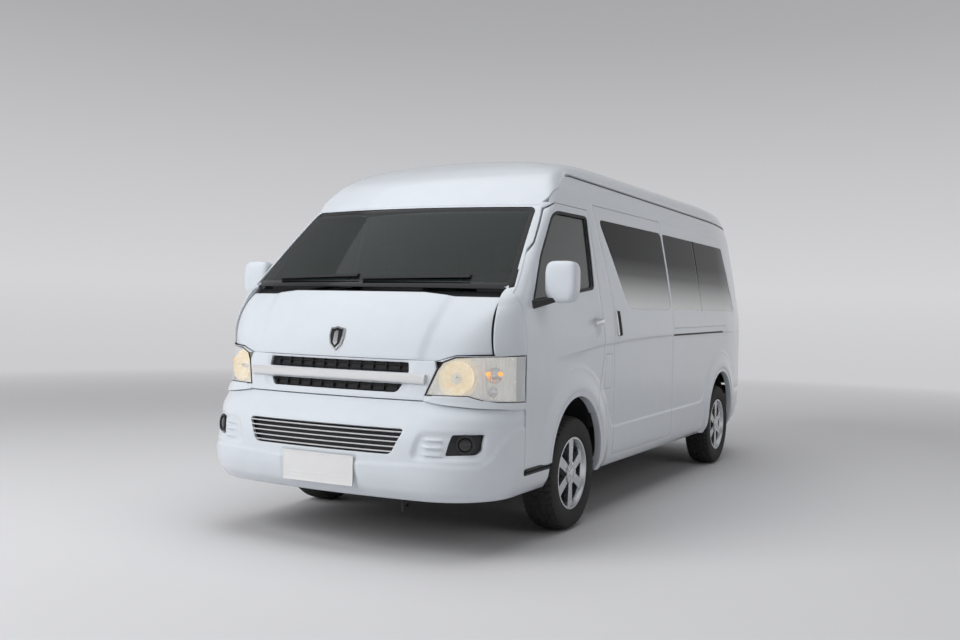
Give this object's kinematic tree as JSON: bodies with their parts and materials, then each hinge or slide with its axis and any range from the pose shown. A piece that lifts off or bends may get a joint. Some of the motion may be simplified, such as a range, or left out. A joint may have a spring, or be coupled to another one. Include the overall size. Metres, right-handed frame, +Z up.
{
  "type": "passenger van",
  "caption": "High-roof long-wheelbase passenger van with hinged front doors, top-hinged tailgate, steered front wheels and five rows of seats.",
  "frame": {"origin": "on the ground under the middle of the van's box", "axes": "+Z up, the van faces -Y, +X is its left side"},
  "size_m": [2.34, 5.3803, 2.2849],
  "materials": {
    "white_paint": "gloss",
    "dark_glass": "gloss",
    "lamp_glass": "gloss",
    "red_lens": "gloss",
    "chrome_trim": "polished",
    "black_plastic": "matte",
    "grey_plastic": "matte",
    "seat_fabric": "matte",
    "black_steel": "satin",
    "grey_iron": "rough",
    "bare_steel": "satin",
    "wheel_alloy": "satin",
    "tyre_rubber": "matte",
    "flap_rubber": "matte"
  },
  "bodies": {
    "shell": {"front_structure": "white_paint", "roof_panel": "white_paint", "left_side_wall": "white_paint", "right_side_wall": "white_paint", "sliding_door": "white_paint", "side_glass": "dark_glass", "windscreen": "dark_glass", "front_bumper": "white_paint", "front_steps": "white_paint", "rear_bumper": "white_paint", "grille": "chrome_trim", "headlamps": "lamp_glass", "tail_lamps": "red_lens", "wipers": "black_plastic", "mud_flaps": "flap_rubber", "wheelhouse_liners": "black_plastic", "floor_pan": "black_steel", "dashboard": "grey_plastic", "steering_column": "grey_plastic", "front_seats": "seat_fabric", "rear_seats": "seat_fabric", "chassis_frame": "black_steel", "engine_block": "grey_iron", "front_suspension": "black_steel", "rear_axle": "black_steel", "propshaft": "black_steel", "fuel_tank": "black_steel", "exhaust": "bare_steel", "spare_wheel": "tyre_rubber"},
    "left_door": {"left_front_door": "white_paint", "left_door_glass": "dark_glass", "left_mirror": "white_paint"},
    "left_knuckle_body": {"left_knuckle": "grey_iron"},
    "front_left_wheel": {"front_left_tyre": "tyre_rubber", "front_left_rim": "wheel_alloy"},
    "rear_left_wheel": {"rear_left_tyre": "tyre_rubber", "rear_left_rim": "wheel_alloy"},
    "right_door": {"right_front_door": "white_paint", "right_door_glass": "dark_glass", "right_mirror": "white_paint"},
    "right_knuckle_body": {"right_knuckle": "grey_iron"},
    "front_right_wheel": {"front_right_tyre": "tyre_rubber", "front_right_rim": "wheel_alloy"},
    "rear_right_wheel": {"rear_right_tyre": "tyre_rubber", "rear_right_rim": "wheel_alloy"},
    "tailgate_body": {"tailgate": "white_paint", "tailgate_glass": "dark_glass"},
    "bonnet_body": {"bonnet": "white_paint"},
    "fuel_lid_body": {"fuel_lid": "white_paint"},
    "steering_wheel_body": {"steering_wheel": "grey_plastic"}
  },
  "joints": [
    {"name": "steer_left", "type": "hinge", "parent": "shell", "child": "left_knuckle_body", "pos_m": [0.758, -1.47, 0.329], "axis": [0, 0, 1], "range_deg": [-35, 35]},
    {"name": "steer_right", "type": "hinge", "parent": "shell", "child": "right_knuckle_body", "pos_m": [-0.758, -1.47, 0.329], "axis": [0, 0, 1], "range_deg": [-35, 35]},
    {"name": "steering_wheel_turn", "type": "hinge", "parent": "shell", "child": "steering_wheel_body", "pos_m": [-0.385, -1.87, 1.17], "axis": [0, 0.5299, 0.848], "range_deg": [-525, 525]},
    {"name": "left_door_hinge", "type": "hinge", "parent": "shell", "child": "left_door", "pos_m": [0.925, -2.13, 0.98], "axis": [0, 0, -1], "range_deg": [0, 70]},
    {"name": "right_door_hinge", "type": "hinge", "parent": "shell", "child": "right_door", "pos_m": [-0.925, -2.13, 0.98], "axis": [0, 0, 1], "range_deg": [0, 70]},
    {"name": "tailgate_hinge", "type": "hinge", "parent": "shell", "child": "tailgate_body", "pos_m": [0, 2.59187, 1.97], "axis": [1, 0, 0], "range_deg": [0, 85]},
    {"name": "bonnet_hinge", "type": "hinge", "parent": "shell", "child": "bonnet_body", "pos_m": [0, -2.222, 1.325], "axis": [-1, 0, 0], "range_deg": [0, 40]},
    {"name": "fuel_lid_hinge", "type": "hinge", "parent": "shell", "child": "fuel_lid_body", "pos_m": [0.934, -0.93, 0.895], "axis": [0, 0, 1], "range_deg": [0, 80]},
    {"name": "front_left_wheel_spin", "type": "hinge", "parent": "left_knuckle_body", "child": "front_left_wheel", "pos_m": [0.826, -1.47, 0.329], "axis": [1, 0, 0], "continuous": true},
    {"name": "front_right_wheel_spin", "type": "hinge", "parent": "right_knuckle_body", "child": "front_right_wheel", "pos_m": [-0.826, -1.47, 0.329], "axis": [1, 0, 0], "continuous": true},
    {"name": "rear_left_wheel_spin", "type": "hinge", "parent": "shell", "child": "rear_left_wheel", "pos_m": [0.826, 1.64, 0.329], "axis": [1, 0, 0], "continuous": true},
    {"name": "rear_right_wheel_spin", "type": "hinge", "parent": "shell", "child": "rear_right_wheel", "pos_m": [-0.826, 1.64, 0.329], "axis": [1, 0, 0], "continuous": true}
  ],
  "couplings": [
    {"joint": "steer_right", "follows": "steer_left", "ratio": 1},
    {"joint": "steering_wheel_turn", "follows": "steer_left", "ratio": 15}
  ]
}
